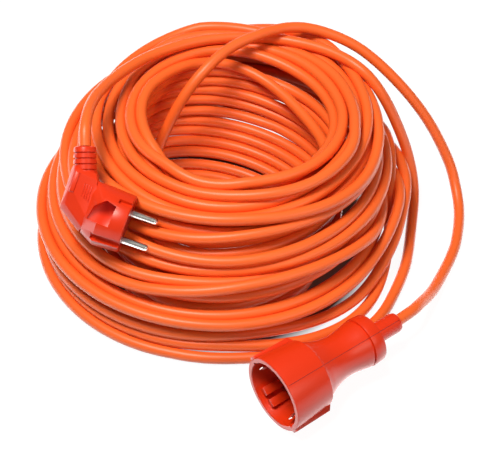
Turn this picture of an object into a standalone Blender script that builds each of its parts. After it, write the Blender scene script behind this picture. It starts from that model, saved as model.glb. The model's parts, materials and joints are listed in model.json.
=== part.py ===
"""Extension cord: a coiled orange lead with an angled two-pin plug and a round earthed socket.

Lengths in this file are millimetres unless a name says otherwise; the scene itself is in metres.
+Z is up, the floor is Z = 0 and the front of the coil faces -Y.
"""
import math

import bmesh
import bpy
from mathutils import Matrix, Vector

MM = 0.001
GAP = 0.3                      # clearance between pieces that touch

# ---------------------------------------------------------------- driving dimensions
CORD_D = 8.2                   # round three-core mains lead, 1.5 mm2 cores
CORD_R = CORD_D / 2
CORE_R = 1.4                   # one insulated core
CORE_PITCH_R = 1.76            # radius on which the three cores lie
CORE_BORE_R = 3.5              # hole through a strain relief for the three cores

# coil: the wound turns as one ring, narrower and set back towards its top
COIL_OUTER = ((0, 124), (25, 126), (50, 119.5), (75, 104.5), (92, 97), (104, 82))   # height, radius
COIL_INNER = ((104, 64), (50, 84), (0, 100))
COIL_CENTRE = ((0, -31, 43), (25, -30, 46), (50, -24, 54), (75, -14, 64), (104, -2, 77))   # height, x, y
COIL_SEGMENTS = 64

# plug, in its own frame: Z out along the pins, X towards the lead, Y to the side that faces up
PLUG_FACE_AT = (-83.7, -35.0, 82.3)
PLUG_HEADING = -13.6           # compass of the pins from +X, degrees
PLUG_DIP = 13.9                # pins point this far below level
PLUG_ROLL = 47.2               # the lead side leans this far back
PUCK_R = 17.6
PUCK_DEPTH = 16.0
PLUG_DEPTH = 46.0              # face to the back of the grip
PIN_R = 2.4
PIN_LENGTH = 19.0
PIN_PITCH = 19.0
PIN_TAIL_R = 1.7
PIN_TAIL_END = -13.0
BRIDGE_R = 14.2
BRIDGE_DEPTH = 7.7
EARTH_OFFSET = 10.0            # earth hole from the line of the pins
EARTH_HOLE_R = 2.45
EARTH_SLEEVE_R = 3.0
PLUG_RELIEF_BASE = (25.0, -40.0)   # X, Z of the strain relief's root
PLUG_RELIEF_TILT = 15.0        # it leans back from the pins' right angle
PLUG_RELIEF_LENGTH = 18.5
PLUG_RELIEF_R = 7.0
PLUG_RELIEF_TIP_R = 5.6

# socket, in its own frame: Z out of the mouth, X through the two earth clips
SOCKET_MOUTH_AT = (15.0, -136.6, 27.05)
SOCKET_HEADING = 37.0          # compass of its body from the mouth, degrees
SOCKET_ROLL = 33.0             # the near clip sits this far below level
SOCKET_LENGTH = 108.0
SOCKET_RIM_R = 27.0
RECESS_DEPTH = 17.5
RECESS_R = 20.5
RECESS_RIM_R = 22.3
INSERT_R = 20.2
INSERT_BACK = -29.8
COLLAR_BACK = -84.0
SOCKET_RELIEF_R = 7.2
SOCKET_RELIEF_START = -62.0
CONTACT_R = 3.4
CONTACT_BORE_R = 2.45
CONTACT_BACK = -36.0

# the whole object is moved by this much, so that its box is centred on the origin
OFFSET = (-4.2, -7.8, 0.0)

# routes of the lead where it isn't wound, before OFFSET
PLUG_LEAD_ROUTE = (
    (-112, 26, 130), (-108, 51, 127), (-95, 84, 120), (-72, 114, 115), (-38, 134, 113),
    (0, 141, 111), (30, 138, 110), (60, 124, 110.5), (83, 106, 107), (99, 95, 91),
    (113, 90, 62), (122, 86, 36), (126, 73, 15), (122, 42, 5), (115, 5, 4.3),
    (103, -27, 4.3), (93, -46, 4.3), (78, -63, 4.3), (58, -77, 4.3), (36, -82, 4.3), (10, -84, 4.3),
)
SOCKET_LEAD_ROUTE = (
    (118, -52, 22), (131, -28, 11), (144, 1, 4.6), (154, 26, 4.3), (160, 57, 6), (159, 78, 14),
    (153, 93, 30), (135, 107, 60), (110, 119, 88), (82, 135, 106), (53, 144, 115), (30, 143, 119),
    (7, 131, 121), (-15, 117, 119), (-33, 100, 112), (-48, 89, 97), (-59, 83, 78), (-69, 77, 56),
    (-80, 68, 34),
)
LOOSE_TURN_ROUTE = (
    (108, 62, 66), (108, 50, 54), (110, 40, 40), (113, 31, 26), (112, 17, 13.5), (104, 4, 7),
    (91, -14, 4.3), (76, -32, 4.3), (70, -38, 4.3),
)

# colours: linear base colour, roughness, metallic
MATERIALS = {
    "cord_pvc": ((0.83, 0.17, 0.035), 0.45, 0.0),
    "shell_pvc": ((0.72, 0.05, 0.015), 0.35, 0.0),
    "insert_plastic": ((0.62, 0.035, 0.012), 0.4, 0.0),
    "pin_nickel": ((0.75, 0.73, 0.70), 0.2, 1.0),
    "contact_brass": ((0.78, 0.57, 0.25), 0.35, 1.0),
    "clip_steel": ((0.62, 0.61, 0.60), 0.3, 1.0),
    "core_brown": ((0.16, 0.06, 0.025), 0.5, 0.0),
    "core_blue": ((0.03, 0.13, 0.45), 0.5, 0.0),
    "core_green_yellow": ((0.35, 0.45, 0.04), 0.5, 0.0),
}


# ---------------------------------------------------------------- scene set-up
def clear_scene():
    for obj in list(bpy.data.objects):
        bpy.data.objects.remove(obj, do_unlink=True)
    for coll in list(bpy.data.collections):
        bpy.data.collections.remove(coll)


def new_collection(name):
    coll = bpy.data.collections.new(name)
    bpy.context.scene.collection.children.link(coll)
    return coll


clear_scene()
PARTS = new_collection("extension_cord")
CUTTERS = new_collection("cutters")


def make_material(name):
    colour, roughness, metallic = MATERIALS[name]
    mat = bpy.data.materials.get(name)
    if mat is None:
        mat = bpy.data.materials.new(name)
        mat.use_nodes = True
        shader = mat.node_tree.nodes["Principled BSDF"]
        shader.inputs["Base Color"].default_value = (*colour, 1.0)
        shader.inputs["Roughness"].default_value = roughness
        shader.inputs["Metallic"].default_value = metallic
    return mat


def empty_frame(name, matrix, parent=None):
    frame = bpy.data.objects.new(name, None)
    PARTS.objects.link(frame)
    frame.parent = parent
    frame.matrix_local = matrix
    return frame


def frame_matrix(origin, x_axis, y_axis, z_axis):
    rows = Matrix((x_axis, y_axis, z_axis)).transposed().to_4x4()
    return Matrix.Translation(Vector(origin) * MM) @ rows


def plug_matrix():
    heading, dip, roll = (math.radians(a) for a in (PLUG_HEADING, PLUG_DIP, PLUG_ROLL))
    pins = Vector((math.cos(dip) * math.cos(heading), math.cos(dip) * math.sin(heading), -math.sin(dip)))
    level = Vector((-math.sin(heading), math.cos(heading), 0.0))
    above = pins.cross(level)
    lead_side = above * math.cos(roll) + level * math.sin(roll)
    return frame_matrix(PLUG_FACE_AT, lead_side, pins.cross(lead_side), pins)


def socket_matrix():
    heading, roll = math.radians(SOCKET_HEADING), math.radians(SOCKET_ROLL)
    mouth = Vector((-math.cos(heading), -math.sin(heading), 0.0))
    level = Vector((math.sin(heading), -math.cos(heading), 0.0))
    clip = level * math.cos(roll) + Vector((0, 0, -math.sin(roll)))
    return frame_matrix(SOCKET_MOUTH_AT, clip, mouth.cross(clip), mouth)


ORIGIN = empty_frame("cord_origin", Matrix.Translation(Vector(OFFSET) * MM))
PLUG = empty_frame("plug_frame", plug_matrix(), ORIGIN)
SOCKET = empty_frame("socket_frame", socket_matrix(), ORIGIN)


# ---------------------------------------------------------------- shape helpers
def add_object(name, data, parent, material=None):
    """Link a new object: a part when it has a material, otherwise a cutter."""
    obj = bpy.data.objects.new(name, data)
    obj.parent = parent
    if material:
        PARTS.objects.link(obj)
        data.materials.append(make_material(material))
    else:
        CUTTERS.objects.link(obj)
        obj.hide_render = True
        obj.display_type = "WIRE"
    return obj


def shade(obj, degrees=35):
    obj.data.shade_smooth()
    obj.data.set_sharp_from_angle(angle=math.radians(degrees))


def turned(name, profile, parent, material=None, segments=40, offset=(0, 0), closed=False):
    """Turn a profile of (radius, z) points, listed from the top down its outer side, about Z."""
    mesh = bpy.data.meshes.new(name)
    count = len(profile)
    edges = [(i, i + 1) for i in range(count - 1)]
    if closed:
        edges.append((count - 1, 0))
    mesh.from_pydata([(r * MM, 0, z * MM) for r, z in profile], edges, [])
    obj = add_object(name, mesh, parent, material)
    obj.location = (offset[0] * MM, offset[1] * MM, 0)
    screw = obj.modifiers.new("turn", "SCREW")
    screw.steps = screw.render_steps = segments
    screw.use_merge_vertices = True
    screw.merge_threshold = 0.00001
    screw.use_smooth_shade = True
    return obj


def box(name, low, high, parent, material=None):
    mesh = bpy.data.meshes.new(name)
    bm = bmesh.new()
    bmesh.ops.create_cube(bm, size=1.0)
    size = [(h - l) * MM for l, h in zip(low, high)]
    centre = [(h + l) / 2 * MM for l, h in zip(low, high)]
    bmesh.ops.transform(bm, matrix=Matrix.Translation(centre) @ Matrix.Diagonal((*size, 1)), verts=bm.verts)
    bm.to_mesh(mesh)
    bm.free()
    return add_object(name, mesh, parent, material)


def hull(name, points, parent, material=None):
    mesh = bpy.data.meshes.new(name)
    bm = bmesh.new()
    for point in points:
        bm.verts.new(Vector(point) * MM)
    result = bmesh.ops.convex_hull(bm, input=bm.verts)
    loose = [g for g in result["geom_interior"] if isinstance(g, bmesh.types.BMVert)]
    bmesh.ops.delete(bm, geom=loose, context="VERTS")
    bmesh.ops.recalc_face_normals(bm, faces=bm.faces)
    bm.to_mesh(mesh)
    bm.free()
    return add_object(name, mesh, parent, material)


def boolean(obj, cutter, operation="DIFFERENCE"):
    mod = obj.modifiers.new(operation.lower(), "BOOLEAN")
    mod.operation = operation
    mod.object = cutter
    mod.solver = "EXACT"


def smooth_path(points, spacing):
    """Even points along a Catmull-Rom curve through the given points."""
    pts = [Vector(p) for p in points]
    ends = [pts[0] * 2 - pts[1], *pts, pts[-1] * 2 - pts[-2]]
    dense = []
    for a, b, c, d in zip(ends, ends[1:], ends[2:], ends[3:]):
        for step in range(24):
            t = step / 24
            dense.append(0.5 * (2 * b + (c - a) * t + (2 * a - 5 * b + 4 * c - d) * t ** 2
                                + (3 * b - a - 3 * c + d) * t ** 3))
    dense.append(pts[-1])
    lengths = [0.0]
    for a, b in zip(dense, dense[1:]):
        lengths.append(lengths[-1] + (b - a).length)
    count = max(2, round(lengths[-1] / spacing))
    path = []
    index = 0
    for k in range(count + 1):
        target = lengths[-1] * k / count
        while index < len(lengths) - 2 and lengths[index + 1] < target:
            index += 1
        span = lengths[index + 1] - lengths[index]
        path.append(dense[index].lerp(dense[index + 1], (target - lengths[index]) / span))
    return path


def tube(name, points, radius, spacing, material, parent, sides=3):
    """A round tube along a smooth route, straight between its first two and its last two points."""
    path = [Vector(points[0]), *smooth_path(points[1:-1], spacing), Vector(points[-1])]
    curve = bpy.data.curves.new(name, "CURVE")
    curve.dimensions = "3D"
    curve.bevel_depth = radius * MM
    curve.bevel_resolution = sides
    curve.use_fill_caps = True
    spline = curve.splines.new("POLY")
    spline.points.add(len(path) - 1)
    for point, place in zip(spline.points, path):
        if parent is ORIGIN:
            place.z = max(place.z, radius + 0.1)
        point.co = (*(place * MM), 1.0)
    return add_object(name, curve, parent, material)


# ---------------------------------------------------------------- coil
def coil_centre(height):
    """Centre of the ring at a height, between the stations of COIL_CENTRE."""
    for (z0, x0, y0), (z1, x1, y1) in zip(COIL_CENTRE, COIL_CENTRE[1:]):
        if height <= z1:
            t = (height - z0) / (z1 - z0)
            return Vector((x0 + (x1 - x0) * t, y0 + (y1 - y0) * t, 0.0))
    return Vector((x1, y1, 0.0))


def build_coil():
    """The wound turns as one turned ring that leans back and to the right."""
    outer = [(r, z) for z, r in reversed(COIL_OUTER)]
    inner = [(r, z) for z, r in reversed(COIL_INNER)]
    mesh = bpy.data.meshes.new("cord_coil")
    bm = bmesh.new()
    loop = [bm.verts.new((r * MM, 0, z * MM)) for r, z in outer + inner]
    edges = [bm.edges.new((a, b)) for a, b in zip(loop, loop[1:] + loop[:1])]
    bmesh.ops.spin(bm, geom=loop + edges, cent=(0, 0, 0), axis=(0, 0, 1), angle=math.tau,
                   steps=COIL_SEGMENTS, use_merge=True)
    bmesh.ops.remove_doubles(bm, verts=bm.verts, dist=0.00001)
    for vert in bm.verts:
        vert.co += coil_centre(vert.co.z / MM) * MM
    bmesh.ops.recalc_face_normals(bm, faces=bm.faces)
    bm.to_mesh(mesh)
    bm.free()
    coil = add_object("cord_coil", mesh, ORIGIN, "cord_pvc")
    shade(coil)


# ---------------------------------------------------------------- strain reliefs and where leads start
def plug_relief_frame():
    """Root and outward direction of the plug's strain relief, in the plug's frame."""
    tilt = math.radians(PLUG_RELIEF_TILT)
    root = Vector((PLUG_RELIEF_BASE[0], 0, PLUG_RELIEF_BASE[1]))
    return root, Vector((math.cos(tilt), 0, -math.sin(tilt)))


def to_world(frame_rows, point):
    """A point of a piece's frame, in millimetres before OFFSET."""
    return (frame_rows @ (Vector(point) * MM)) / MM


def plug_lead_points():
    root, out = plug_relief_frame()
    tip = root + out * (PLUG_RELIEF_LENGTH + GAP)
    rows = plug_matrix()
    return [to_world(rows, tip), to_world(rows, tip + out * 9), *map(Vector, PLUG_LEAD_ROUTE)]


def socket_lead_points():
    rows = socket_matrix()
    tip = -SOCKET_LENGTH - GAP
    return [to_world(rows, (0, 0, tip)), to_world(rows, (0, 0, tip - 9)), *map(Vector, SOCKET_LEAD_ROUTE)]


def build_cord():
    tube("plug_lead", plug_lead_points(), CORD_R, 18, "cord_pvc", ORIGIN)
    tube("socket_lead", socket_lead_points(), CORD_R, 18, "cord_pvc", ORIGIN)
    tube("loose_turn", LOOSE_TURN_ROUTE, CORD_R, 16, "cord_pvc", ORIGIN)


def core_offset(index):
    """Where core 0 to 2 lies in the lead's section: three cores laid in a triangle."""
    angle = math.radians(90 + 120 * index)
    return math.cos(angle) * CORE_PITCH_R, math.sin(angle) * CORE_PITCH_R


# ---------------------------------------------------------------- plug
def build_plug_body():
    puck = turned("plug_puck", [(0, 0), (PUCK_R - 1, 0), (PUCK_R, -1), (PUCK_R, -PUCK_DEPTH + 1.5),
                                (PUCK_R - 1.5, -PUCK_DEPTH), (0, -PUCK_DEPTH)], PLUG, segments=48)
    grip = hull("plug_body", [
        (x, y * side, z)
        for side in (1, -1)
        for x, y, z in ((-7.5, 6.5, -PLUG_DEPTH), (24, 6.5, -PLUG_DEPTH), (24, 7.5, -33), (16.4, 10.5, -26),
                        (-14, 10.5, -26), (-9.5, 7.5, -42), (14, 12.5, -12), (-14, 12.5, -12),
                        (16.4, 5, -12), (-16.4, 5, -12))
    ], PLUG, "shell_pvc")
    boolean(grip, puck, "UNION")
    for side in (1, -1):
        recess = hull(f"finger_recess_{side}", [
            (9, 14 * side, -27), (16.5, 16 * side, -20), (16, 19 * side, -12), (3, 19 * side, -12),
            (9.5, 9.5 * side, -13.5), (3, 16 * side, -18)], PLUG)
        boolean(grip, recess)
        notch = box(f"guide_notch_{side}", (16 if side > 0 else -19, -3.2, -12),
                    (19 if side > 0 else -16, 3.2, 1), PLUG)
        boolean(grip, notch)
    rooms = (
        ((-12.3, -4.8, -27), (12.3, 4.8, -7)),
        ((-9.7, -4.7, -32), (14.4, 4.7, -26)),
        ((-5.2, -4.6, -41), (16.2, 4.6, -31)),
        ((-2.6, -12.2, -15), (2.6, 0, -7.2)),
        ((-2.5, -10.8, -19.5), (2.5, 0, -14)),
        ((-2.4, -8.6, -25), (2.4, 0, -18)),
    )
    for number, (low, high) in enumerate(rooms):
        boolean(grip, box(f"plug_room_{number}", low, high, PLUG))
    root, out = plug_relief_frame()
    bore = turned("plug_lead_bore", [(0, 4), (CORE_BORE_R, 4), (CORE_BORE_R, -12), (0, -12)], PLUG, segments=24)
    bore.matrix_local = relief_matrix(root, out)
    boolean(grip, bore)
    seat = turned("bridge_seat", [(0, 1), (BRIDGE_R + GAP, 1), (BRIDGE_R + GAP, -BRIDGE_DEPTH - GAP),
                                  (0, -BRIDGE_DEPTH - GAP)], PLUG, segments=48)
    boolean(grip, seat)


def relief_matrix(root, out):
    side = Vector((0, 1, 0))
    rows = Matrix((side.cross(out), side, out)).transposed().to_4x4()
    return Matrix.Translation(root * MM) @ rows


def build_plug_relief():
    """Ribbed sleeve that keeps the lead from kinking where it enters the plug."""
    root, out = plug_relief_frame()
    ribs = 4
    start = 1.6
    pitch = (PLUG_RELIEF_LENGTH - start) / ribs
    outline = []
    for k in range(ribs):
        z_top = PLUG_RELIEF_LENGTH - k * pitch
        radius = PLUG_RELIEF_TIP_R + (PLUG_RELIEF_R - PLUG_RELIEF_TIP_R) * (k + 1) / ribs
        outline += [(radius - 0.5, z_top), (radius, z_top - 0.7), (radius, z_top - pitch + 1.4),
                    (radius - 1.0, z_top - pitch + 1.1), (radius - 1.0, z_top - pitch + 0.3)]
    foot = [(PLUG_RELIEF_R, start - 0.2), (PLUG_RELIEF_R, relief_foot()), (CORE_BORE_R, relief_foot())]
    profile = outline + foot + [(CORE_BORE_R, PLUG_RELIEF_LENGTH)]
    relief = turned("plug_strain_relief", profile, PLUG, "shell_pvc", segments=28, closed=True)
    relief.matrix_local = relief_matrix(root, out)
    trim = box("relief_trim", (0, -12, -60), (24 + GAP, 12, -20), PLUG)
    boolean(relief, trim)


def relief_foot():
    """The sleeve starts below the grip's top face and is trimmed flush with it."""
    return -2.2


def build_pins():
    for name, side in (("plug_pin_live", 1), ("plug_pin_neutral", -1)):
        profile = [(0, PIN_LENGTH), (PIN_R * 0.5, PIN_LENGTH - 0.3), (PIN_R * 0.87, PIN_LENGTH - 1.2),
                   (PIN_R, PIN_LENGTH - 2.6), (PIN_R, -BRIDGE_DEPTH), (PIN_TAIL_R, -BRIDGE_DEPTH),
                   (PIN_TAIL_R, PIN_TAIL_END), (0, PIN_TAIL_END)]
        turned(name, profile, PLUG, "pin_nickel", segments=24, offset=(side * PIN_PITCH / 2, 0))


def build_pin_bridge():
    """Hard plate that carries the pins and closes the plug's face."""
    bridge = turned("plug_pin_bridge", [(0, -0.2), (BRIDGE_R - 0.3, -0.2), (BRIDGE_R, -0.5),
                                        (BRIDGE_R, -BRIDGE_DEPTH), (0, -BRIDGE_DEPTH)],
                    PLUG, "insert_plastic", segments=48)
    holes = ((PIN_PITCH / 2, 0, PIN_R), (-PIN_PITCH / 2, 0, PIN_R), (0, -EARTH_OFFSET, EARTH_SLEEVE_R))
    for number, (x, y, radius) in enumerate(holes):
        hole = turned(f"bridge_hole_{number}", [(0, 2), (radius + GAP, 2), (radius + GAP, -12), (0, -12)],
                      PLUG, segments=24, offset=(x, y))
        boolean(bridge, hole)


def build_plug_earth():
    """Tubular earth contact, open at the plug's face."""
    back = -BRIDGE_DEPTH + 0.1
    profile = [(EARTH_HOLE_R, -0.6), (EARTH_SLEEVE_R, -0.6), (EARTH_SLEEVE_R, back), (1.5, back),
               (1.5, -11.0), (0, -11.0), (0, -6.6), (EARTH_HOLE_R, -6.6)]
    turned("plug_earth_sleeve", profile, PLUG, "contact_brass", segments=24,
           offset=(0, -EARTH_OFFSET), closed=True)


def crimp(name, x, y, top, bottom, radius, parent):
    return turned(name, [(0, top), (radius - 0.3, top), (radius, top - 0.4), (radius, bottom + 0.4),
                         (radius - 0.3, bottom), (0, bottom)], parent, "contact_brass", 16, (x, y))


def build_plug_crimps():
    half = PIN_PITCH / 2
    crimp("plug_crimp_live", half, 0, PIN_TAIL_END - GAP, -19.0, 2.3, PLUG)
    crimp("plug_crimp_neutral", -half, 0, PIN_TAIL_END - GAP, -19.0, 2.3, PLUG)
    crimp("plug_crimp_earth", 0, -EARTH_OFFSET, -11.0 - GAP, -14.0, 1.7, PLUG)


def build_plug_cores():
    """Three insulated cores from the lead's end, through the strain relief, to the crimps."""
    root, out = plug_relief_frame()
    side = Vector((0, 1, 0))
    front = side.cross(out)
    half = PIN_PITCH / 2
    ends = (
        ("plug_core_live", "core_brown", ((12.6, 0, -33.5), (10.2, 0, -28), (half, 0, -23), (half, 0, -19.0 - GAP))),
        ("plug_core_neutral", "core_blue", ((5, 1.8, -36.8), (-2.5, 1.3, -32.5), (-7.2, 0.4, -27.5),
                                            (-half, 0, -23), (-half, 0, -19.0 - GAP))),
        ("plug_core_earth", "core_green_yellow", ((8, -1.8, -35.8), (2.8, -1.8, -31), (0.8, -2.2, -26),
                                                  (0, -4.2, -21.5), (0, -7.3, -17.2),
                                                  (0, -8.9, -15.5), (0, -9.1, -14.0 - GAP))),
    )
    spots = ((1.75, 0.0), (-0.88, 1.6), (-0.88, -1.6))     # towards the front, sideways
    for (name, material, tail), (f, s) in zip(ends, spots):
        lane = front * -f + side * s if front.z < 0 else front * f + side * s
        start = root + out * (PLUG_RELIEF_LENGTH - GAP) + lane
        inside = root + out * -9 + lane
        route = [start, root + out * 12 + lane, root + out * 4 + lane, inside, *tail]
        tube(name, route, CORE_R, 3.0, material, PLUG, sides=2)


def build_plug():
    build_plug_body()
    build_plug_relief()
    build_pins()
    build_pin_bridge()
    build_plug_earth()
    build_plug_crimps()
    build_plug_cores()


# ---------------------------------------------------------------- socket
def build_socket_body():
    outer = [(RECESS_RIM_R, 0), (SOCKET_RIM_R - 0.4, 0), (SOCKET_RIM_R, -0.6), (24.4, -31.0), (22.6, -31.4),
             (20.6, -35.5), (18.4, -40.5), (16.6, -46), (15.4, -51.5), (15.0, -56), (15.4, -60.5),
             (16.4, -66), (17.2, -71.5), (17.2, -73.6), (16.7, -74.4), (17.6, -75.4), (17.2, -83),
             (16.4, COLLAR_BACK)]
    bore = SOCKET_RELIEF_R + GAP
    inner = [(bore, COLLAR_BACK), (bore, SOCKET_RELIEF_START + 0.6), (13, -46), (13.6, -42), (13.6, -32),
             (RECESS_R, -32), (RECESS_R, -RECESS_DEPTH), (RECESS_R + 0.6, -3)]
    body = turned("socket_body", outer + inner, SOCKET, "shell_pvc", segments=56, closed=True)
    for side in (1, -1):
        rib = hull(f"socket_rib_{side}", [(x * side, y, z) for x, y, z in (
            (24.6, 3.2, -0.3), (24.6, -3.2, -0.3), (28.3, 2.0, -0.3), (28.3, -2.0, -0.3),
            (23.2, 3.2, -30.6), (23.2, -3.2, -30.6), (25.9, 2.0, -29.6), (25.9, -2.0, -29.6))], SOCKET)
        boolean(body, rib, "UNION")
        low, high = sorted((19.0 * side, 23.6 * side))
        boolean(body, box(f"clip_keyway_{side}", (low, -1.5, -RECESS_DEPTH - 0.2), (high, 1.5, 1), SOCKET))
        for lug_side in (1, -1):
            ys = sorted((17.6 * side, 21.6 * side))
            xs = sorted((1.4 * lug_side, 7.2 * lug_side))
            lug = box(f"guide_lug_{side}_{lug_side}", (xs[0], ys[0], -RECESS_DEPTH + 0.1),
                      (xs[1], ys[1], -4.0), SOCKET)
            boolean(body, lug, "UNION")


def build_socket_insert():
    """Hard contact carrier at the bottom of the recess."""
    insert = turned("socket_insert", [(0, -RECESS_DEPTH - GAP), (INSERT_R, -RECESS_DEPTH - GAP),
                                      (INSERT_R, INSERT_BACK), (0, INSERT_BACK)],
                    SOCKET, "insert_plastic", segments=48)
    for side in (1, -1):
        y = side * PIN_PITCH / 2
        room_r = CONTACT_R + GAP
        hole = turned(f"insert_hole_{side}", [(0, 0), (2.9, 0), (2.9, -19), (room_r, -19), (room_r, -40), (0, -40)],
                      SOCKET, segments=24, offset=(0, y))
        boolean(insert, hole)
        low, high = sorted((17.4 * side, 22 * side))
        boolean(insert, box(f"clip_slot_{side}", (low, -3.4, -40), (high, 3.4, 0), SOCKET))


def build_contacts():
    """Round brass sleeves that grip the pins of a plug."""
    for name, side in (("socket_contact_live", 1), ("socket_contact_neutral", -1)):
        y = side * PIN_PITCH / 2
        sleeve = turned(name, [(0, -19 - GAP), (CONTACT_R - 0.3, -19 - GAP), (CONTACT_R, -19.8),
                               (CONTACT_R, CONTACT_BACK), (1.9, CONTACT_BACK), (1.9, -38.5), (0, -38.5)],
                        SOCKET, "contact_brass", segments=24, offset=(0, y))
        bore = turned(f"contact_bore_{side}", [(0, 0), (CONTACT_BORE_R, 0), (CONTACT_BORE_R, -35), (0, -35)],
                      SOCKET, segments=24, offset=(0, y))
        boolean(sleeve, bore)


def build_earth_clip():
    """One bent steel strip: a bar behind the carrier and a sprung leg up each side of the recess."""
    half_width = 3.0
    leg = [(18.6, -31.0), (18.6, -16), (17.5, -10), (17.3, -7.5), (17.9, -4.5), (18.9, -2.4)]
    path = [(-x, z) for x, z in reversed(leg)] + leg
    mesh = bpy.data.meshes.new("socket_earth_clip")
    verts = [(x * MM, y * MM, z * MM) for x, z in path for y in (-half_width, half_width)]
    faces = [(2 * i, 2 * i + 1, 2 * i + 3, 2 * i + 2) for i in range(len(path) - 1)]
    mesh.from_pydata(verts, [], faces)
    clip = add_object("socket_earth_clip", mesh, SOCKET, "clip_steel")
    thick = clip.modifiers.new("sheet", "SOLIDIFY")
    thick.thickness = 0.8 * MM
    thick.offset = 0.0


def build_socket_relief():
    """Plain round sleeve on the lead, held in the socket's collar."""
    r = SOCKET_RELIEF_R
    profile = [(r, SOCKET_RELIEF_START), (r, -SOCKET_LENGTH + 3), (r - 0.5, -SOCKET_LENGTH + 0.9),
               (r - 1.6, -SOCKET_LENGTH), (CORE_BORE_R, -SOCKET_LENGTH), (CORE_BORE_R, SOCKET_RELIEF_START)]
    turned("socket_strain_relief", profile, SOCKET, "shell_pvc", segments=32, closed=True)


def build_socket_wiring():
    half = PIN_PITCH / 2
    crimp("socket_crimp_live", 0, half, -38.8, -44.5, 2.3, SOCKET)
    crimp("socket_crimp_neutral", 0, -half, -38.8, -44.5, 2.3, SOCKET)
    crimp("socket_crimp_earth", 0, 0, -31.8, -37.5, 2.3, SOCKET)
    lanes = ((1.75, 0.0), (-0.88, 1.6), (-0.88, -1.6))
    end = -SOCKET_LENGTH + GAP
    runs = (
        ("socket_core_earth", "core_green_yellow", 0, -37.5, lanes[0]),
        ("socket_core_live", "core_brown", half, -44.5, lanes[1]),
        ("socket_core_neutral", "core_blue", -half, -44.5, lanes[2]),
    )
    for name, material, wide, top, (x, y) in runs:
        route = [(0, wide, top - GAP), (0, wide, top - 2), (x * 0.3, wide * 0.78, -51), (x * 0.7, wide * 0.48, -55.5),
                 (x, y + wide * 0.05, -59.5), (x, y, -63), (x, y, -68), (x, y, -80), (x, y, end + 4), (x, y, end)]
        tube(name, route, CORE_R, 4.0, material, SOCKET, sides=2)


def build_socket():
    build_socket_body()
    build_socket_insert()
    build_contacts()
    build_earth_clip()
    build_socket_relief()
    build_socket_wiring()


build_coil()
build_cord()
build_plug()
build_socket()
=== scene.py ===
"""Extension cord: one continuous lead wound in a coil, with its angled plug and round socket.

Lengths are millimetres before OFFSET unless a comment says otherwise; the scene is in metres, +Z up.
"""
import json
import math

import bmesh
import bpy
import numpy as np
from mathutils import Matrix, Vector

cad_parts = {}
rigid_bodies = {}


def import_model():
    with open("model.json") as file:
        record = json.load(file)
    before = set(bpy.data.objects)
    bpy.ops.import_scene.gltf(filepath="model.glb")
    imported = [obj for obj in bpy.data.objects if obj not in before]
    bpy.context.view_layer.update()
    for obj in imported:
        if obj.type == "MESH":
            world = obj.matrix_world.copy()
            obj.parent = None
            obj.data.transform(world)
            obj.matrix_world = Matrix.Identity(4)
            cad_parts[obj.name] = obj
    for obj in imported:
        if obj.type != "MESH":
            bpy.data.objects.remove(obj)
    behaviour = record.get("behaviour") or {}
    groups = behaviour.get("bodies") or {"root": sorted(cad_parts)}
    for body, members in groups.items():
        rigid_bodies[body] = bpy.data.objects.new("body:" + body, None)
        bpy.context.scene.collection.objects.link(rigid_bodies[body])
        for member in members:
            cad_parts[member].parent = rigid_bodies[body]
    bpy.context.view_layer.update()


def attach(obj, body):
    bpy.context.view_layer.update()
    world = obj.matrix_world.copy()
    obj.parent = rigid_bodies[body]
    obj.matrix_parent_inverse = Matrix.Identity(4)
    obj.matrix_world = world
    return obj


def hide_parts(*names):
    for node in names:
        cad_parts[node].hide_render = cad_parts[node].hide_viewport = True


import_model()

MM = 0.001
OFFSET = np.array((-4.2, -7.8, 0.0))     # brings the middle of the CAD's box to the origin
CORD_D = 8.2
CORD_R = CORD_D / 2
STEP = 6.0                     # from one point of the cord's line to the next
DRAWN_STEP = 4.0               # the same for the line as drawn

# the plug's and the socket's frames
PLUG_FACE_AT = (-83.7, -35.0, 82.3)
PLUG_HEADING, PLUG_DIP, PLUG_ROLL = -13.6, 13.9, 47.2
PLUG_RELIEF_ROOT = (25.0, 0.0, -38.9)
PLUG_RELIEF_TILT = 20.0
PLUG_RELIEF_LENGTH = 18.0
SOCKET_MOUTH_AT = (15.0, -136.6, 27.05)
SOCKET_HEADING, SOCKET_ROLL = 37.0, 33.0
SOCKET_LENGTH = 108.0

STRAIGHT_AT = (0.3, 9)         # how far out of each strain relief the lead is still straight

# routes of the lead where it isn't wound
PLUG_LEAD_ROUTE = (
    (-112, 26, 130), (-108, 51, 127), (-95, 84, 120), (-72, 114, 115), (-38, 134, 113),
    (0, 141, 111), (30, 138, 110), (60, 124, 110.5), (83, 106, 107), (99, 95, 91),
    (113, 90, 62), (122, 86, 36), (126, 73, 15), (122, 42, 5), (115, 5, 4.3),
    (103, -27, 4.3), (93, -46, 4.3), (78, -63, 4.3), (58, -77, 4.3), (36, -82, 4.3), (10, -84, 4.3),
)
SOCKET_LEAD_ROUTE = (
    (118, -52, 22), (131, -28, 11), (144, 1, 4.6), (154, 26, 4.3), (160, 57, 6), (159, 78, 14),
    (153, 93, 30), (135, 107, 60), (110, 119, 88), (82, 135, 106), (53, 144, 115), (30, 143, 119),
    (7, 131, 121), (-15, 117, 119), (-33, 100, 112), (-48, 89, 97), (-59, 83, 78), (-69, 77, 56),
    (-78, 66, 36),
)

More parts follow.
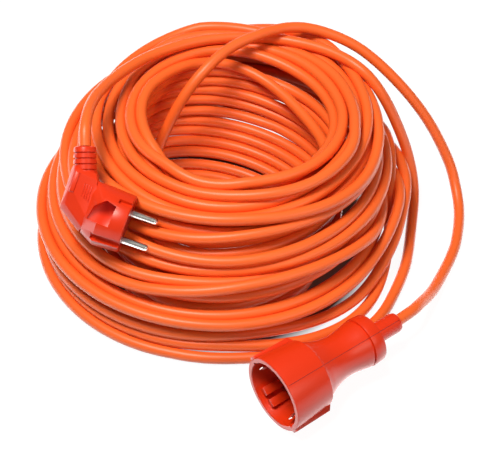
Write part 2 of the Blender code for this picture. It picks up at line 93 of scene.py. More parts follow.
# the wall of the coil that the turns follow: height, centre x, centre y, radius of a turn's own line
OUTER_WALL = (
    (4.2, -26, 44, 127), (25, -26, 47, 126), (50, -22, 55, 120), (73, -15, 64, 109),
    (90, -8, 72, 99), (101, -3, 77, 87),
)
INNER_WALL = (
    (101, -9, 60, 71), (75, -16, 46, 80), (50, -22, 34, 86), (28, -25, 20, 80), (8, -26, 12, 73),
)
BACK_RISE = 3.5                # at a height of 100, the back is this much higher and the front lower
TURNS = 29.2                   # turns in the winding
TURN_LENGTH = 700              # roughly, for the first points of the winding
PITCH = 8.2                    # from one turn to the next along the wall
START_ANGLE = -72.0            # where the first turn leaves the plug's lead, degrees about the centre
SEED = 7

# how far the turns drift from their places, and how many times in a turn they change their way
DRIFT_ALONG, DRIFT_ALONG_KNOTS = 5.2, 2.1
DRIFT_OUT, DRIFT_OUT_KNOTS = 2.2, 3.1
CALM_FROM, CALM_OVER, CALM_LEAST = 15, 5, 0.45        # the inner turns drift less

# the joins of the winding with the two leads
JOIN_POINTS = 14               # points of the line in one join
JOIN_REACH = 0.4               # how far a join runs straight on, as a share of the gap
TRIM_HEAD, TRIM_TAIL = 12, 6   # points taken off the winding's two ends

# the relaxation of the line
LEAD_HOLD = 0.8                # how firmly the two leads keep their routes, 1 being fixed
HEAD_FREE, TAIL_FREE = 14, 6   # the leads' points nearest the winding, which aren't held
FIXED_POINTS = 4               # points at each end of the cord that never move
HOLD_ROUNDS = 12               # rounds of smoothing from held to free
CLEARANCE = 0.12               # air wanted between two turns
ROUNDS, SEARCH_EVERY = 110, 6  # rounds, and how often the pairs of close points are found again
SEARCH_MARGIN = 5
SAME_STRETCH = 3.2             # points nearer along the cord than this many diameters may be close
PULL_FIRST, PULL_LAST = 0.04, 0.012      # how strongly each round draws the line back to its first place
PULL_CHANGE = 0.6              # the share of the rounds with the stronger pull

# circles of floor: a painted shade, dark under the coil, and lit inside its opening, each with a soft edge
SHADE_AT, SHADE_R, SHADE_EDGE = (-27.0, 44.0), 115.0, 10
OPEN_AT, OPEN_R, OPEN_EDGE = (-26.0, 12.0), 60.0, 15
FLOOR_HALF = 3.0               # metres
FLOOR_GLOW, FLOOR_GLOW_REFLECTED = 0.94, 2.8
SKY_GLOW, SKY_GLOW_REFLECTED = 0.16, 0.22

CAMERA_AT = (0.0, -719.3, 744.7)
CAMERA_TILT = 46.0
CAMERA_LENS = 100.8


# ---------------------------------------------------------------- frames
def frame_matrix(origin, x_axis, y_axis, z_axis):
    """The matrix that stands a piece's own frame in the scene."""
    place = Vector([(o + s) * MM for o, s in zip(origin, OFFSET)])
    return Matrix.Translation(place) @ Matrix((x_axis, y_axis, z_axis)).transposed().to_4x4()


def plug_matrix():
    """The plug's frame: the middle of its front, X towards the lead's side, Z along the pins."""
    heading, dip, roll = (math.radians(a) for a in (PLUG_HEADING, PLUG_DIP, PLUG_ROLL))
    pins = Vector((math.cos(dip) * math.cos(heading), math.cos(dip) * math.sin(heading), -math.sin(dip)))
    level = Vector((-math.sin(heading), math.cos(heading), 0.0))
    above = pins.cross(level)
    lead_side = above * math.cos(roll) + level * math.sin(roll)
    return frame_matrix(PLUG_FACE_AT, lead_side, pins.cross(lead_side), pins)


def socket_matrix():
    """The socket's frame: the middle of its mouth, X towards a clip, Z out of the mouth."""
    heading, roll = math.radians(SOCKET_HEADING), math.radians(SOCKET_ROLL)
    mouth = Vector((-math.cos(heading), -math.sin(heading), 0.0))
    level = Vector((math.sin(heading), -math.cos(heading), 0.0))
    clip = level * math.cos(roll) + Vector((0, 0, -math.sin(roll)))
    return frame_matrix(SOCKET_MOUTH_AT, clip, mouth.cross(clip), mouth)


def relief_way():
    """The way the plug's strain relief points, in the plug's frame."""
    tilt = math.radians(PLUG_RELIEF_TILT)
    return Vector((math.cos(tilt), 0, -math.sin(tilt)))


def place_in(matrix, point):
    """A point of a piece's frame, in millimetres before OFFSET."""
    world = matrix @ (Vector(point) * MM)
    return np.array(world) / MM - OFFSET


# ---------------------------------------------------------------- the cord's line
def catmull(points, step):
    """Even points along a smooth line through the given points."""
    pts = np.array(points, float)
    ends = np.vstack([2 * pts[0] - pts[1], pts, 2 * pts[-1] - pts[-2]])
    t = np.linspace(0, 1, 24, endpoint=False)[:, None]
    runs = []
    for a, b, c, d in zip(ends, ends[1:], ends[2:], ends[3:]):
        runs.append(0.5 * (2 * b + (c - a) * t + (2 * a - 5 * b + 4 * c - d) * t ** 2
                           + (3 * b - a - 3 * c + d) * t ** 3))
    return even(np.vstack([*runs, pts[-1:]]), step)


def even(line, step):
    """The same line with its points evenly spaced, about a step apart."""
    gaps = np.linalg.norm(np.diff(line, axis=0), axis=1)
    along = np.concatenate([[0], np.cumsum(gaps)])
    count = max(2, int(round(along[-1] / step)))
    marks = np.linspace(0, along[-1], count + 1)
    return np.stack([np.interp(marks, along, line[:, k]) for k in range(3)], axis=1)


def plug_lead():
    """The route from the plug's strain relief to the first turn."""
    out = relief_way()
    matrix = plug_matrix()
    root = Vector(PLUG_RELIEF_ROOT)
    start = [place_in(matrix, root + out * (PLUG_RELIEF_LENGTH + d)) for d in STRAIGHT_AT]
    return [*start, *PLUG_LEAD_ROUTE]


def socket_lead():
    """The route from the socket's strain relief to the last turn."""
    matrix = socket_matrix()
    start = [place_in(matrix, (0, 0, -SOCKET_LENGTH - d)) for d in STRAIGHT_AT]
    return [*start, *SOCKET_LEAD_ROUTE]


def wall_point(theta, s, lift):
    """Where a turn runs: s millimetres along the wall's section at angle theta, lift out of it."""
    c, n = np.cos(theta), np.sin(theta)
    knots = []
    for z, x, y, r in (*OUTER_WALL, *INNER_WALL):
        knots.append(np.stack([x + r * c, y + r * n, np.full_like(c, z)], axis=1))
    knots = np.stack(knots, axis=1)
    gaps = np.linalg.norm(np.diff(knots, axis=1), axis=2)
    along = np.concatenate([np.zeros((len(c), 1)), np.cumsum(gaps, axis=1)], axis=1)
    s = np.clip(s, 0, along[:, -1] - 0.01)
    k = (along[:, 1:] <= s[:, None]).sum(axis=1)
    rows = np.arange(len(c))
    t = (s - along[rows, k]) / gaps[rows, k]
    spot = knots[rows, k] * (1 - t)[:, None] + knots[rows, k + 1] * t[:, None]
    run = (knots[rows, k + 1] - knots[rows, k]) / gaps[rows, k][:, None]
    tangent = np.stack([-n, c, np.zeros_like(c)], axis=1)
    out = np.cross(tangent, run)
    spot[:, 2] += BACK_RISE * n * spot[:, 2] / 100
    return spot + out * lift[:, None]


def wander(rng, turns, size, knots_per_turn):
    """A smooth random drift along the winding."""
    knots = rng.normal(0, size, int(TURNS * knots_per_turn) + 4)
    place = turns * knots_per_turn
    k = np.floor(place).astype(int)
    t = place - k
    t = t * t * (3 - 2 * t)
    return knots[k] * (1 - t) + knots[k + 1] * t


def bump(turns, centre, width, size):
    """A smooth rise of the given size at one place of the winding, and nothing elsewhere."""
    x = np.clip(np.abs(turns - centre) / width, 0, 1)
    return size * (0.5 + 0.5 * np.cos(math.pi * x))


# loose turns: turn, half width in turns, shift along the wall, lift out of it
LOOSE = (
    (0.75, 0.15, 42, 12), (1.76, 0.14, 26, 16), (2.80, 0.12, 12, 9),
    (17.72, 0.22, 6, 15), (3.3, 0.25, -6, 4), (9.2, 0.3, 6, 4),
    (13.35, 0.25, -7, 5), (12.1, 0.25, 7, 5), (5.0, 0.2, 12, 7), (7.15, 0.18, -10, 6),
    (10.0, 0.22, 10, 7), (11.9, 0.16, -9, 5), (8.4, 0.2, 9, 5), (14.95, 0.2, -8, 4),
    (0.92, 0.14, -6, 13), (1.9, 0.13, -6, 8),
)


def winding(step):
    """The wound turns from the end of the plug's lead to the start of the socket's."""
    rng = np.random.default_rng(SEED)
    turns = np.linspace(0, TURNS, int(TURNS * TURN_LENGTH / step))
    theta = np.radians(START_ANGLE) - turns * math.tau
    calm = np.clip(1.0 - (turns - CALM_FROM) / CALM_OVER, CALM_LEAST, 1.0)
    drift = wander(rng, turns, DRIFT_ALONG, DRIFT_ALONG_KNOTS)
    s = 1.0 + turns * PITCH + drift * np.clip(turns, 0, 1) * calm
    lift = wander(rng, turns, DRIFT_OUT, DRIFT_OUT_KNOTS) * calm + 0.5
    for centre, width, shift, out in LOOSE:
        s = s + bump(turns, centre, width, shift)
        lift = lift + bump(turns, centre, width, out)
    return wall_point(theta, s, lift)


def join(a, b, span):
    """Bridge the end of line a to the start of line b, in the given number of points."""
    head_dir = (a[-1] - a[-4]) / np.linalg.norm(a[-1] - a[-4])
    tail_dir = (b[3] - b[0]) / np.linalg.norm(b[3] - b[0])
    gap = np.linalg.norm(b[0] - a[-1])
    after_a = a[-1] + head_dir * gap * JOIN_REACH
    before_b = b[0] - tail_dir * gap * JOIN_REACH
    u = np.linspace(0, 1, span)[1:-1, None]
    bridge = ((1 - u) ** 3 * a[-1] + 3 * u * (1 - u) ** 2 * after_a
              + 3 * u ** 2 * (1 - u) * before_b + u ** 3 * b[0])
    return np.vstack([a, bridge, b])


def near_pairs(line, reach, skip):
    """Pairs of points of the line that are close in space but not along it."""
    first, second = [], []
    squares = (line ** 2).sum(axis=1)
    for start in range(0, len(line), 500):
        block = line[start:start + 500]
        gaps = squares[start:start + 500, None] + squares[None] - 2 * block @ line.T
        i, j = np.nonzero(gaps < reach * reach)
        keep = j > i + start + skip
        first.append(i[keep] + start)
        second.append(j[keep])
    return np.concatenate(first), np.concatenate(second)


def smooth(field, rounds):
    """Even out rows of numbers along the line, with both ends kept."""
    for _ in range(rounds):
        field[1:-1] = 0.5 * field[1:-1] + 0.25 * (field[:-2] + field[2:])
    return field


def relax(line, hold, step, rounds):
    """Push overlapping stretches apart while the line keeps its length, its bends and the floor."""
    home = line.copy()
    count = len(line)
    apart = CORD_D + CLEARANCE
    for round_no in range(rounds):
        if round_no % SEARCH_EVERY == 0:
            i, j = near_pairs(line, apart + SEARCH_MARGIN, int(SAME_STRETCH * CORD_D / step))
        delta = line[j] - line[i]
        dist = np.linalg.norm(delta, axis=1)
        hit = dist < apart
        a, b = i[hit], j[hit]
        push = delta[hit] * (0.5 * (apart - dist[hit]) / np.maximum(dist[hit], 0.01))[:, None]
        total = np.zeros_like(line)
        weight = np.bincount(a, minlength=count) + np.bincount(b, minlength=count)
        for k in range(3):
            total[:, k] = np.bincount(b, push[:, k], count) - np.bincount(a, push[:, k], count)
        line = line + total / np.maximum(np.sqrt(weight), 1)[:, None] * (1 - hold)[:, None]
        pull = PULL_FIRST if round_no < rounds * PULL_CHANGE else PULL_LAST
        line = line + (home - line) * np.maximum(pull, hold * 0.5)[:, None]
        line = home + smooth(line - home, 2)
        line[:, 2] = np.maximum(line[:, 2], CORD_R + 0.06)
    return line


def cord_line():
    """The cord's centreline from the plug to the socket, relaxed."""
    head = catmull(plug_lead(), STEP)
    tail = catmull(socket_lead()[::-1], STEP)
    middle = even(winding(STEP), STEP)[TRIM_HEAD:-TRIM_TAIL]
    line = join(join(head, middle, JOIN_POINTS), tail, JOIN_POINTS)
    line = even(line, STEP)
    hold = np.zeros(len(line))
    hold[:len(head) - HEAD_FREE] = LEAD_HOLD
    hold[-(len(tail) - TAIL_FREE):] = LEAD_HOLD
    hold = smooth(hold[:, None], HOLD_ROUNDS)[:, 0]
    hold[:FIXED_POINTS] = 1.0
    hold[-FIXED_POINTS:] = 1.0
    return relax(line, hold, STEP, ROUNDS)


# ---------------------------------------------------------------- materials
MOTTLE_SCALE, GRAIN_SCALE = 22.0, 900.0
GRAIN_RISE = 0.0002            # metres


def nodes_of(material):
    """The node tree of a new material, and its shader."""
    material.use_nodes = True
    tree = material.node_tree
    return tree, tree.nodes.get("Principled BSDF")


def plastic(material, colour, roughness, grain=0.0, mottle=0.06, specular=0.5, metallic=0.0):
    """A procedural finish: a base colour with a faint mottle and a fine grain in the normal."""
    tree, shader = nodes_of(material)
    shader.inputs["Roughness"].default_value = roughness
    shader.inputs["Metallic"].default_value = metallic
    shader.inputs["Specular IOR Level"].default_value = specular
    coords = tree.nodes.new("ShaderNodeTexCoord")
    noise = tree.nodes.new("ShaderNodeTexNoise")
    noise.inputs["Scale"].default_value = MOTTLE_SCALE
    noise.inputs["Detail"].default_value = 3.0
    ramp = tree.nodes.new("ShaderNodeMix")
    ramp.data_type = "RGBA"
    ramp.inputs["A"].default_value = (*[c * (1 - mottle) for c in colour], 1)
    ramp.inputs["B"].default_value = (*[min(1.0, c * (1 + mottle)) for c in colour], 1)
    tree.links.new(coords.outputs["Object"], noise.inputs["Vector"])
    tree.links.new(noise.outputs["Fac"], ramp.inputs["Factor"])
    tree.links.new(ramp.outputs["Result"], shader.inputs["Base Color"])
    if grain:
        fine = tree.nodes.new("ShaderNodeTexNoise")
        fine.inputs["Scale"].default_value = GRAIN_SCALE
        fine.inputs["Detail"].default_value = 2.0
        rise = tree.nodes.new("ShaderNodeBump")
        rise.inputs["Strength"].default_value = grain
        rise.inputs["Distance"].default_value = GRAIN_RISE
        tree.links.new(coords.outputs["Object"], fine.inputs["Vector"])
        tree.links.new(fine.outputs["Fac"], rise.inputs["Height"])
        tree.links.new(rise.outputs["Normal"], shader.inputs["Normal"])
    return material


FINISHES = {
    "cord_pvc": dict(colour=(0.92, 0.140, 0.022), roughness=0.40, grain=0.12, specular=0.4),
    "shell_pvc": dict(colour=(0.74, 0.034, 0.004), roughness=0.34, grain=0.10, specular=0.36),
    "insert_plastic": dict(colour=(0.34, 0.008, 0.003), roughness=0.4, grain=0.08),
    "pin_nickel": dict(colour=(0.74, 0.71, 0.67), roughness=0.2, metallic=1.0, mottle=0.03),
    "contact_brass": dict(colour=(0.80, 0.58, 0.26), roughness=0.35, metallic=1.0),
    "clip_steel": dict(colour=(0.72, 0.70, 0.67), roughness=0.3, metallic=1.0, mottle=0.03),
    "core_brown": dict(colour=(0.16, 0.06, 0.025), roughness=0.5),
    "core_blue": dict(colour=(0.03, 0.13, 0.45), roughness=0.5),
    "core_green_yellow": dict(colour=(0.35, 0.45, 0.04), roughness=0.5),
}


def slot_material(name):
    """The finish of that name, made once."""
    made = bpy.data.materials.get("finish_" + name)
    if made is None:
        made = plastic(bpy.data.materials.new("finish_" + name), **FINISHES[name])
    return made


# the finish of each CAD piece that stays in view, by what its name holds
FINISH_OF = {
    "plug_pin_bridge": "insert_plastic", "plug_pin_live": "pin_nickel", "plug_pin_neutral": "pin_nickel",
    "socket_strain_relief": "shell_pvc", "socket_insert": "insert_plastic", "earth_clip": "clip_steel",
    "core_live": "core_brown", "core_neutral": "core_blue", "core_earth": "core_green_yellow",
    "contact": "contact_brass", "crimp": "contact_brass", "sleeve": "contact_brass",
}

# every piece on the two ends of the cord
END_NODES = [f"{end}_{part}" for end, parts in (
    ("plug", ("shell", "relief", "pin_bridge", "pin_live", "pin_neutral", "earth_sleeve")),
    ("socket", ("shell", "strain_relief", "insert", "contact_live", "contact_neutral", "earth_clip")),
) for part in parts]
END_NODES += [f"{end}_{kind}_{core}" for end in ("plug", "socket") for kind in ("crimp", "core")
              for core in ("live", "neutral", "earth")]


def paint_cad():
    """Give the CAD pieces that stay in view their finishes."""
    for obj in bpy.data.objects:
        if obj.type != "MESH" or obj.hide_render:
            continue
        for part_name, finish in FINISH_OF.items():
            if part_name in obj.name:
                for entry in obj.material_slots:
                    entry.material = slot_material(finish)


# ---------------------------------------------------------------- pieces
def tube_object(name, line, radius, material):
    """A round tube along a line, with closed ends."""
    curve = bpy.data.curves.new(name, "CURVE")
    curve.dimensions = "3D"
    curve.bevel_depth = radius * MM
    curve.bevel_resolution = 5
    curve.use_fill_caps = True
    spline = curve.splines.new("POLY")
    spline.points.add(len(line) - 1)
    spots = (line + OFFSET) * MM
    flat = np.concatenate([spots, np.ones((len(spots), 1))], axis=1).ravel()
    spline.points.foreach_set("co", flat)
    spline.use_smooth = True
    obj = bpy.data.objects.new(name, curve)
    bpy.context.scene.collection.objects.link(obj)
    curve.materials.append(slot_material(material))
    return obj


def build_cord():
    line = cord_line()
    fine = catmull(np.vstack([line[:-2:2], line[-1:]]), DRAWN_STEP)
    fine[:, 2] = np.maximum(fine[:, 2], CORD_R + 0.05)
    cord = tube_object("cord", fine, CORD_R, "cord_pvc")
    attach(cord, "root")
    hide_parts("cord_coil", "plug_lead", "socket_lead", "loose_turn")


# ---------------------------------------------------------------- shaped pieces
def finish_piece(obj, slot_name, nodes):
    """Give a shaped piece its finish, its body and the CAD nodes it stands for."""
    obj.data.materials.clear()
    obj.data.materials.append(slot_material(slot_name))
    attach(obj, "root")
    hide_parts(*nodes)


def add_mesh(name, mesh, matrix):
    """Put a mesh in the scene, stood by its matrix."""
    obj = bpy.data.objects.new(name, mesh)
    bpy.context.scene.collection.objects.link(obj)
    obj.matrix_world = matrix
    return obj


def hull(name, points, matrix):
    """The convex solid round the points."""
    mesh = bpy.data.meshes.new(name)
    bm = bmesh.new()
    for point in points:
        bm.verts.new(Vector(point) * MM)
    result = bmesh.ops.convex_hull(bm, input=bm.verts)
    loose = [g for g in result["geom_interior"] if isinstance(g, bmesh.types.BMVert)]
    bmesh.ops.delete(bm, geom=loose, context="VERTS")
    bmesh.ops.dissolve_limit(bm, angle_limit=math.radians(1), verts=bm.verts, edges=bm.edges)
    bmesh.ops.recalc_face_normals(bm, faces=bm.faces)
    bm.to_mesh(mesh)
    bm.free()
    return add_mesh(name, mesh, matrix)


def box(name, low, high, matrix):
    """A box between two corners."""
    return hull(name, [(x, y, z) for x in (low[0], high[0]) for y in (low[1], high[1])
                       for z in (low[2], high[2])], matrix)


def turned(name, profile, matrix, segments=96, closed=False, offset=(0, 0)):
    """Turn a profile of (radius, z) points, listed from the top down its outer side, about Z."""
    mesh = bpy.data.meshes.new(name)
    bm = bmesh.new()
    loop = [bm.verts.new((r * MM, 0, z * MM)) for r, z in profile]
    pairs = list(zip(loop, loop[1:])) + ([(loop[-1], loop[0])] if closed else [])
    edges = [bm.edges.new(pair) for pair in pairs]
    bmesh.ops.spin(bm, geom=loop + edges, cent=(0, 0, 0), axis=(0, 0, 1), angle=math.tau,
                   steps=segments, use_merge=True)
    bmesh.ops.remove_doubles(bm, verts=bm.verts, dist=0.000001)
    bmesh.ops.recalc_face_normals(bm, faces=bm.faces)
    bm.to_mesh(mesh)
    bm.free()
    mesh.transform(Matrix.Translation((offset[0] * MM, offset[1] * MM, 0)))
    return add_mesh(name, mesh, matrix)


def combine(obj, cutter, operation="DIFFERENCE"):
    """Apply one boolean and drop the cutter."""
    mod = obj.modifiers.new("bool", "BOOLEAN")
    mod.operation = operation
    mod.object = cutter
    mod.solver = "EXACT"
    settle(obj)
    bpy.data.objects.remove(cutter, do_unlink=True)


def settle(obj):
    """Turn the object's modifiers into plain mesh."""
    bpy.context.view_layer.update()
    graph = bpy.context.evaluated_depsgraph_get()
    mesh = bpy.data.meshes.new_from_object(obj.evaluated_get(graph))
    obj.modifiers.clear()
    obj.data = mesh


def merge(obj, parts, slot_name=None):
    """Make small parts one piece with obj, with a finish of their own if one is named."""
    whole = bmesh.new()
    whole.from_mesh(obj.data)
    bpy.context.view_layer.update()
    graph = bpy.context.evaluated_depsgraph_get()
    for part in parts:
        mesh = bpy.data.meshes.new_from_object(part.evaluated_get(graph))
        mesh.transform(obj.matrix_world.inverted() @ part.matrix_world)
        for face in mesh.polygons:
            face.material_index = 1 if slot_name else 0
        whole.from_mesh(mesh)
    whole.to_mesh(obj.data)
    whole.free()
    for part in parts:
        bpy.data.objects.remove(part, do_unlink=True)
    if slot_name:
        obj.data.materials.append(slot_material(slot_name))


def soften(obj, width, segments, degrees=28):
    """Round the edges that turn by more than the given degrees."""
    bevel = obj.modifiers.new("soften", "BEVEL")
    bevel.width = width * MM
    bevel.segments = segments
    bevel.limit_method = "ANGLE"
    bevel.angle_limit = math.radians(degrees)
    settle(obj)
    obj.data.shade_smooth()
    obj.data.set_sharp_from_angle(angle=math.radians(40))


# the plug's round front: its radius near the face and at its root, its depth, how far its middle is
# towards the lead, and its side as (radius, z)
PUCK_R, PUCK_ROOT_R, PUCK_DEPTH, PUCK_AT = 20.5, 21.2, 18.5, 1.6
PUCK_SIDE = ((0, 0), (19.7, 0), (20.3, -0.6), (21.22, -18.6), (0, -18.6))
PLUG_SEAT = ((0, 2), (14.5, 2), (14.5, -8), (0, -8))      # the round hole that takes the pins' bridge

# one side of the grip, of the shoulder's back, of the bar across its rear, and of the finger recess
GRIP_SIDE = (
    (26.5, 7.5, -46.0), (26.5, 3.0, -48.3), (27.2, 7.5, -31.0), (24, 9.5, -44.6), (13, 9.5, -44.6),
    (-4.0, 9.5, -26.6), (14, 9.5, -26.0), (22.7, 9.5, -28.3), (0.8, 7.0, -44.0), (-10.8, 6.9, -28.3),
    (-3.2, 1.5, -46.7), (-14.2, 1.5, -30.0), (-1.0, 3.0, -47.4),
)
SHOULDER_BACK, SHOULDER_BACK_Z = ((22.6, 6.5), (14, 9.3), (-4, 9.3), (-10.8, 6.8), (-14.0, 2)), -28.6
REAR_BAR = (
    (9.2, 8.0, -44.9), (24.2, 8.0, -44.9), (9.2, 8.0, -40.0), (24.2, 8.0, -40.0),
    (10.2, 10.6, -43.9), (23.9, 10.6, -43.9), (10.2, 10.6, -41.2), (23.9, 10.6, -41.2),
)
FINGER_RECESS = (
    (-4.7, 7.2, -10.5), (10.3, 6.2, -9.6), (12.1, 6.8, -17.0), (6.0, 9.1, -24.3), (-3.6, 9.6, -26.6),
)
OUTSIDE_Y = 30                 # a cutter reaches this far out of a side

# guide notches in the front's edge: degrees about the front, half width, depth, how far back
NOTCHES = ((51, 1.95, 2.6, -9.3), (139.5, 3.3, 3.0, -20.5))

# boxes of free room for the plug's inner pieces
PLUG_ROOMS = (
    ((-12.3, -4.8, -27), (12.3, 4.8, -7)), ((-9.7, -4.7, -32), (14.4, 4.7, -26)),
    ((-0.5, -4.6, -41), (16.2, 4.6, -31)), ((-5.2, -4.6, -37), (16.2, 4.6, -31)),
    ((-2.6, -12.2, -15), (2.6, 0, -7.2)),
)

# grip ribs on one side: how many, the rearmost one's z, the pitch, and a rib's section of (y, z)
GRIP_RIBS, GRIP_RIB_Z, GRIP_RIB_PITCH = 4, -35.3, 1.75
GRIP_RIB_SECTION = ((8.8, -0.5), (8.8, 0.5), (10.1, -0.22), (10.1, 0.22))
GRIP_RIB_SLANT = 0.35


def mirrored(points, s):
    """The same points on side s, 1 or -1, of the plug's middle plane."""
    return [(x, y * s, z) for x, y, z in points]


def build_plug_front(grip, matrix):
    """Join the shoulder and the turned front to the grip."""
    ring = [(PUCK_AT + PUCK_ROOT_R * math.cos(a), PUCK_ROOT_R * math.sin(a), -PUCK_DEPTH)
            for a in np.linspace(0, math.tau, 72, endpoint=False)]
    back = [(x, y * s, SHOULDER_BACK_Z) for s in (1, -1) for x, y in SHOULDER_BACK]
    combine(grip, hull("plug_shoulder", ring + back, matrix), "UNION")
    combine(grip, turned("plug_front", PUCK_SIDE, matrix, offset=(PUCK_AT, 0)), "UNION")


def build_plug_side(grip, matrix, s):
    """Shape one side of the plug: rear bar, finger recess and guide notches."""
    bar = hull("rear_bar", mirrored(REAR_BAR, s), matrix)
    soften(bar, 0.5, 2)
    combine(grip, bar, "UNION")
    recess = [(x, y, z) for x, deep, z in FINGER_RECESS for y in (deep, OUTSIDE_Y)]
    combine(grip, hull("recess", mirrored(recess, s), matrix))
    for angle, half, depth, back_to in NOTCHES:
        turn = (Matrix.Translation((PUCK_AT * MM, 0, 0))
                @ Matrix.Rotation(math.radians(angle * s), 4, "Z"))
        low, high = (PUCK_R - depth, -half, back_to), (PUCK_R + 4, half, 2)
        combine(grip, box("notch", low, high, matrix @ turn))


def grip_rib(matrix, s, k):
    """Rib number k, counted from the rear, on side s of the grip."""
    z = GRIP_RIB_Z + GRIP_RIB_PITCH * k
    ends = ((9.6 - 0.9 * k, GRIP_RIB_SLANT), (18.4 - 0.3 * k, -GRIP_RIB_SLANT))
    points = [(x, y, z + d + slant) for x, slant in ends for y, d in GRIP_RIB_SECTION]
    rib = hull("plug_grip_rib", mirrored(points, s), matrix)
    soften(rib, 0.12, 2)
    return rib


def build_plug_body(matrix):
    """Flat grip behind a round front, with finger recesses, guide notches and grip ribs."""
    grip = hull("plug_shell", mirrored(GRIP_SIDE, 1) + mirrored(GRIP_SIDE, -1), matrix)
    soften(grip, 0.45, 2, 14)
    build_plug_front(grip, matrix)
    for s in (1, -1):
        build_plug_side(grip, matrix, s)
    combine(grip, turned("seat", PLUG_SEAT, matrix))
    for low, high in PLUG_ROOMS:
        combine(grip, box("room", low, high, matrix))
    soften(grip, 0.5, 2, 24)
    merge(grip, [grip_rib(matrix, s, k) for s in (1, -1) for k in range(GRIP_RIBS)])
    finish_piece(grip, "shell_pvc", ["plug_body"])


def relief_matrix(matrix):
    """The strain relief's frame: the middle of its root, Z along it."""
    out = relief_way()
    side = Vector((0, 1, 0))
    rows = Matrix((side.cross(out), side, out)).transposed().to_4x4()
    return matrix @ Matrix.Translation(Vector(PLUG_RELIEF_ROOT) * MM) @ rows


RELIEF_GROOVES, RELIEF_PITCH, RELIEF_GROOVE = 4, 3.9, 1.3      # how many, their pitch, their depth
RELIEF_R, RELIEF_WIDENS = 7.7, 0.15            # radius at the first groove, and what each next one adds
RELIEF_FOOT = -3.5                             # the sleeve starts this far behind its root, in the shell


def build_plug_relief(matrix):
    """Ribbed sleeve around the lead, wider at its root."""
    length, foot = PLUG_RELIEF_LENGTH, RELIEF_FOOT
    profile = [(4.3, length), (6.4, length), (7.4, length - 0.5), (7.6, length - 1.2)]
    for k in range(RELIEF_GROOVES):
        z = length - RELIEF_PITCH - RELIEF_PITCH * k
        r = RELIEF_R + RELIEF_WIDENS * k
        low = r - RELIEF_GROOVE
        profile += [(r, z), (low, z - 0.3), (low, z - 0.65), (r, z - 0.95)]
    profile += [(8.3, 0.2), (8.3, foot), (3.5, foot), (3.5, length - 2), (4.3, length - 1.5)]
    relief = turned("plug_relief", profile, relief_matrix(matrix), 64, closed=True)
    combine(relief, box("trim", (-10, -13, -55), (22.8, 13, -15), matrix))
    relief.data.shade_smooth()
    relief.data.set_sharp_from_angle(angle=math.radians(50))
    finish_piece(relief, "shell_pvc", ["plug_strain_relief"])


# the socket's outside and inside, (radius, z) from the mouth to the collar and back
SOCKET_OUTSIDE = (
    (23.6, 0.0), (26.4, 0.0), (26.9, -0.4), (27.0, -1.0), (24.6, -30.6), (24.2, -31.3), (21.2, -31.4),
    (21.2, -32.1), (22.0, -32.5), (21.5, -33.2), (20.6, -35.6), (19.4, -38.2), (18.2, -41.0), (17.1, -44.2),
    (16.2, -47.6), (15.5, -51.5), (15.2, -55.5), (15.3, -59.5), (15.8, -63.5), (16.5, -67.5), (17.2, -71.2),
    (17.35, -73.0), (16.3, -73.3), (16.3, -74.2), (17.6, -74.6), (17.9, -75.6), (17.5, -82.6), (17.1, -83.6),
    (16.3, -84.0),
)
SOCKET_INSIDE = (
    (7.5, -84), (7.5, -61.4), (13, -46), (13.6, -42), (13.6, -32), (20.5, -32), (20.5, -17.5),
    (22.8, -3.0), (23.2, -0.4),
)
CLIP_RIB = (                   # half of the rib over an earth clip
    (23.8, 3.4, -0.2), (28.4, 2.8, -0.4), (22.6, 3.4, -31.2), (28.0, 2.8, -28.6), (24.6, 2.8, -31.2),
)
KEYWAY_X, KEYWAY_HALF, KEYWAY_Z = (19.0, 24.2), 1.6, (-17.7, 1)
LUG_X, LUG_Y, LUG_Z = (1.5, 7.4), (16.9, 21.6), (-17.4, -3.6)
SEAM_SHADE_R, SEAM_SHADE_STANDS = 0.2, 0.02          # the radius of the dark line that paints the parting line's shade, and how far its middle stands out


def build_socket_body(matrix):
    """Cup, waist and collar, with a rib over each earth clip, keyways and guide lugs."""
    body = turned("socket_shell", SOCKET_OUTSIDE + SOCKET_INSIDE, matrix, closed=True)
    for s in (1, -1):
        rib = hull("rib", [(x * s, y * t, z) for x, y, z in CLIP_RIB for t in (1, -1)], matrix)
        soften(rib, 0.3, 2)
        combine(body, rib, "UNION")
        low, high = sorted(x * s for x in KEYWAY_X)
        keyway = box("keyway", (low, -KEYWAY_HALF, KEYWAY_Z[0]), (high, KEYWAY_HALF, KEYWAY_Z[1]), matrix)
        combine(body, keyway)
        for t in (1, -1):
            xs = sorted(x * t for x in LUG_X)
            ys = sorted(y * s for y in LUG_Y)
            lug = box("lug", (xs[0], ys[0], LUG_Z[0]), (xs[1], ys[1], LUG_Z[1]), matrix)
            soften(lug, 0.5, 2)
            combine(body, lug, "UNION")
    body.data.shade_smooth()
    body.data.set_sharp_from_angle(angle=math.radians(24))
    finish_piece(body, "shell_pvc", ["socket_body"])
    return body


def build_socket_parting_shade(matrix, body):
    """Fine parting line left by the mould along both sides of the socket and its strain relief, in a darker
    finish that paints the shade along it.
    """
    cup, waist = SOCKET_OUTSIDE[3:6], SOCKET_OUTSIDE[9:-1]
    relief = ((7.25, -84.0), (7.22, -106.0))
    seam_shades = []
    for s in (1, -1):
        for piece in (cup, waist, relief):
            points = [place_in(matrix, (0, (r + SEAM_SHADE_STANDS) * s, z)) for r, z in piece]
            seam_shades.append(tube_object("socket_seam", np.array(points), SEAM_SHADE_R, "insert_plastic"))
    # the dark insert finish on this line is painted shade along the parting line
    merge(body, seam_shades, "insert_plastic")


def build_ends():
    """The shaped pieces of the plug and of the socket."""
    plug, socket = plug_matrix(), socket_matrix()
    build_plug_body(plug)
    build_plug_relief(plug)
    build_socket_parting_shade(socket, build_socket_body(socket))


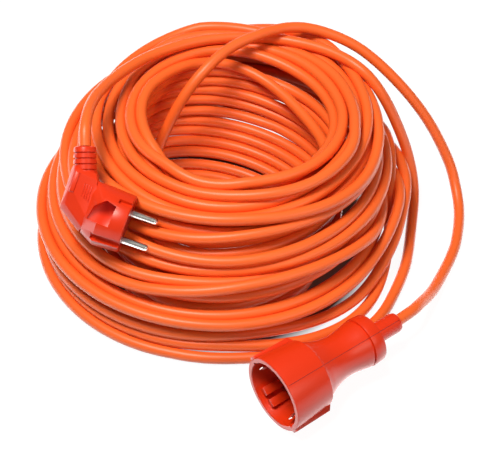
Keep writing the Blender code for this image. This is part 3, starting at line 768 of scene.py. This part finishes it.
# ---------------------------------------------------------------- floor, lights and camera
def seen_or_reflected(tree, seen, reflected):
    """A level with one value in reflections and another for every other ray."""
    rays = tree.nodes.new("ShaderNodeLightPath")
    level = tree.nodes.new("ShaderNodeMapRange")
    level.inputs["To Min"].default_value = seen
    level.inputs["To Max"].default_value = reflected
    tree.links.new(rays.outputs["Is Glossy Ray"], level.inputs["Value"])
    return level.outputs["Result"]


def build_stage():
    """White floor that glows all round the coil and in its opening, with a painted shade under the coil."""
    mesh = bpy.data.meshes.new("floor")
    corners = [(x * FLOOR_HALF, y * FLOOR_HALF, 0) for x, y in ((-1, -1), (1, -1), (1, 1), (-1, 1))]
    mesh.from_pydata(corners, [], [(0, 1, 2, 3)])
    floor = bpy.data.objects.new("floor", mesh)
    bpy.context.scene.collection.objects.link(floor)
    material = bpy.data.materials.new("floor_white")
    tree, shader = nodes_of(material)
    shader.inputs["Base Color"].default_value = (0.15, 0.15, 0.15, 1)
    shader.inputs["Roughness"].default_value = 0.9
    shader.inputs["Specular IOR Level"].default_value = 0.0
    shader.inputs["Emission Color"].default_value = (1, 1, 1, 1)
    coords = tree.nodes.new("ShaderNodeTexCoord")
    light = tree.nodes.new("ShaderNodeMath")
    light.operation = "MAXIMUM"
    # the first circle paints the coil's shade on the floor; the second keeps the floor in the opening lit
    circles = ((SHADE_AT, SHADE_R, SHADE_R + SHADE_EDGE), (OPEN_AT, OPEN_R, OPEN_R - OPEN_EDGE))
    for k, (centre, dark, lit) in enumerate(circles):
        reach = tree.nodes.new("ShaderNodeVectorMath")
        reach.operation = "DISTANCE"
        reach.inputs[1].default_value = ((centre[0] + OFFSET[0]) * MM, (centre[1] + OFFSET[1]) * MM, 0)
        shade = tree.nodes.new("ShaderNodeMapRange")
        shade.inputs["From Min"].default_value = dark * MM
        shade.inputs["From Max"].default_value = lit * MM
        tree.links.new(coords.outputs["Object"], reach.inputs[0])
        tree.links.new(reach.outputs["Value"], shade.inputs["Value"])
        tree.links.new(shade.outputs["Result"], light.inputs[k])
    level = seen_or_reflected(tree, FLOOR_GLOW, FLOOR_GLOW_REFLECTED)
    glow = tree.nodes.new("ShaderNodeMath")
    glow.operation = "MULTIPLY"
    tree.links.new(light.outputs["Value"], glow.inputs[0])
    tree.links.new(level, glow.inputs[1])
    tree.links.new(glow.outputs["Value"], shader.inputs["Emission Strength"])
    mesh.materials.append(material)
    floor.visible_diffuse = False


def area_light(name, place, aim, size, power, colour):
    """A round lamp at a place, in metres, turned to what it aims at."""
    data = bpy.data.lights.new(name, "AREA")
    data.shape = "DISK"
    data.size = size
    data.energy = power
    data.color = colour
    light = bpy.data.objects.new(name, data)
    bpy.context.scene.collection.objects.link(light)
    light.location = place
    light.rotation_euler = (Vector(aim) - Vector(place)).to_track_quat("-Z", "Y").to_euler()


def build_lights():
    """A dim white sky, a warm key light above and a weaker one from the right."""
    world = bpy.context.scene.world or bpy.data.worlds.new("world")
    bpy.context.scene.world = world
    world.use_nodes = True
    tree = world.node_tree
    back = tree.nodes.get("Background")
    back.inputs["Color"].default_value = (1, 1, 1, 1)
    level = seen_or_reflected(tree, SKY_GLOW, SKY_GLOW_REFLECTED)
    tree.links.new(level, back.inputs["Strength"])
    aim = (0, 0, 0.05)
    area_light("key", (-0.35, -0.3, 1.4), aim, 0.5, 21, (1.0, 0.96, 0.87))
    area_light("fill", (0.9, -0.9, 0.9), aim, 0.7, 5, (1.0, 0.93, 0.8))
    bpy.context.scene.view_settings.view_transform = "Standard"


def build_camera():
    """A camera in front of the coil, looking down at it."""
    data = bpy.data.cameras.new("camera")
    data.lens = CAMERA_LENS
    data.sensor_width = 36.0
    data.clip_start = 0.05
    camera = bpy.data.objects.new("camera", data)
    bpy.context.scene.collection.objects.link(camera)
    camera.location = [(c + o) * MM for c, o in zip(CAMERA_AT, OFFSET)]
    camera.rotation_euler = (math.radians(CAMERA_TILT), 0, 0)
    bpy.context.scene.camera = camera


build_ends()
paint_cad()
build_cord()
build_stage()
build_lights()
build_camera()
